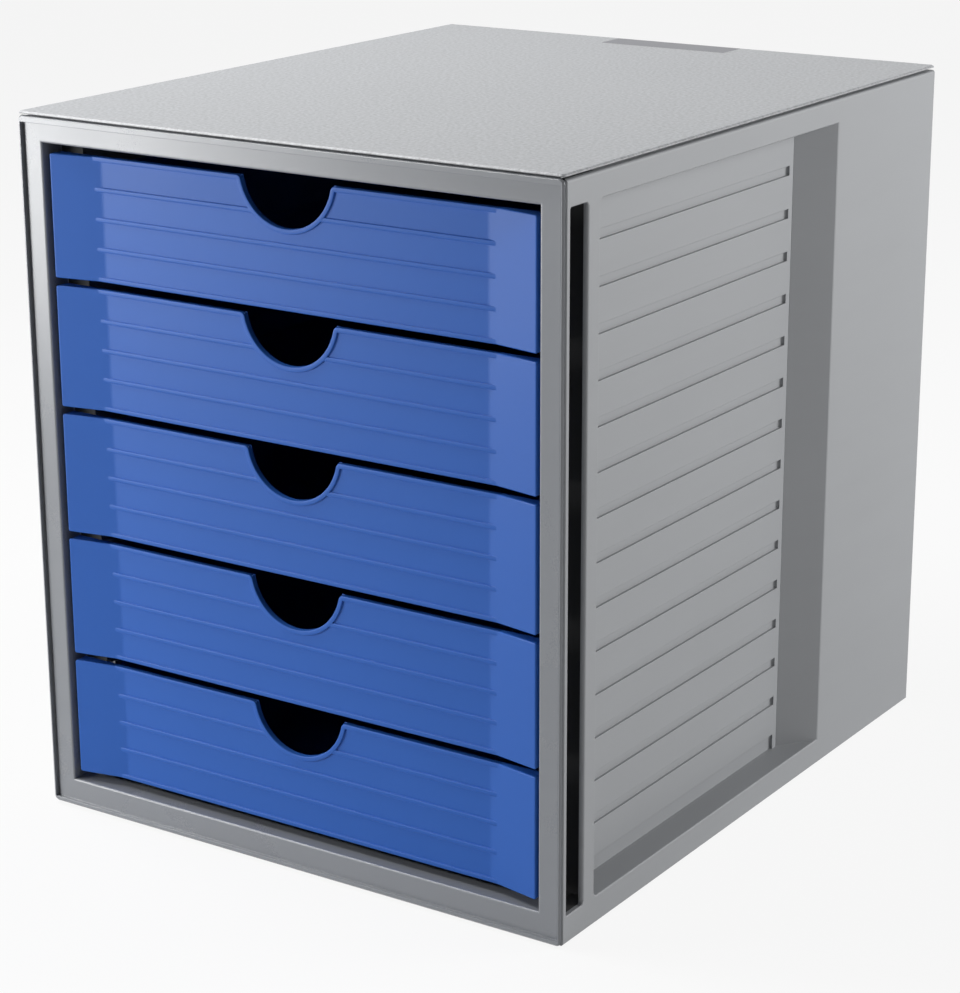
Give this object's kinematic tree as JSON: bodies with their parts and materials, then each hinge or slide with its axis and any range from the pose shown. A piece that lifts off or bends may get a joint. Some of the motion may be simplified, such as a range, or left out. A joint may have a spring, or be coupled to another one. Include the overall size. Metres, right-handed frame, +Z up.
{
  "type": "file box with drawers",
  "caption": "Desk file box with slide-out drawers, each front with forward wings, raised ribs and a half-round finger grip.",
  "frame": {"origin": "centre of the rectangle that the box stands on, at the undersides of the feet", "axes": "+Z up, +X to the right of someone facing the drawers, +Y to the back; drawer fronts face -Y"},
  "size_m": [0.275, 0.33, 0.32],
  "materials": {
    "frame_plastic": "satin grey, smooth moulded",
    "shell_plastic": "matt grey, finely grained",
    "runner_plastic": "matt grey, smooth moulded",
    "lid_plastic": "matt grey, sand grain",
    "drawer_plastic": "satin blue, very fine grain",
    "plate_plastic": "matt dark grey, bare",
    "foot_rubber": "matt black"
  },
  "bodies": {
    "housing": {"front_frame": "frame_plastic", "left_side_panel": "shell_plastic", "right_side_panel": "shell_plastic", "left_runner_wall": "runner_plastic", "right_runner_wall": "runner_plastic", "top_panel": "lid_plastic", "bottom_panel": "shell_plastic", "back_panel": "shell_plastic", "name_plate": "plate_plastic", "foot_front_left": "foot_rubber", "foot_front_right": "foot_rubber", "foot_rear_left": "foot_rubber", "foot_rear_right": "foot_rubber"},
    "drawer_1": {"drawer_1": "drawer_plastic"},
    "drawer_2": {"drawer_2": "drawer_plastic"},
    "drawer_3": {"drawer_3": "drawer_plastic"},
    "drawer_4": {"drawer_4": "drawer_plastic"},
    "drawer_5": {"drawer_5": "drawer_plastic"}
  },
  "joints": [
    {"name": "drawer_1_slide", "type": "slide", "parent": "housing", "child": "drawer_1", "axis": [0, -1, 0], "range_m": [0, 0.253]},
    {"name": "drawer_2_slide", "type": "slide", "parent": "housing", "child": "drawer_2", "axis": [0, -1, 0], "range_m": [0, 0.253]},
    {"name": "drawer_3_slide", "type": "slide", "parent": "housing", "child": "drawer_3", "axis": [0, -1, 0], "range_m": [0, 0.253]},
    {"name": "drawer_4_slide", "type": "slide", "parent": "housing", "child": "drawer_4", "axis": [0, -1, 0], "range_m": [0, 0.253]},
    {"name": "drawer_5_slide", "type": "slide", "parent": "housing", "child": "drawer_5", "axis": [0, -1, 0], "range_m": [0, 0.253]}
  ]
}
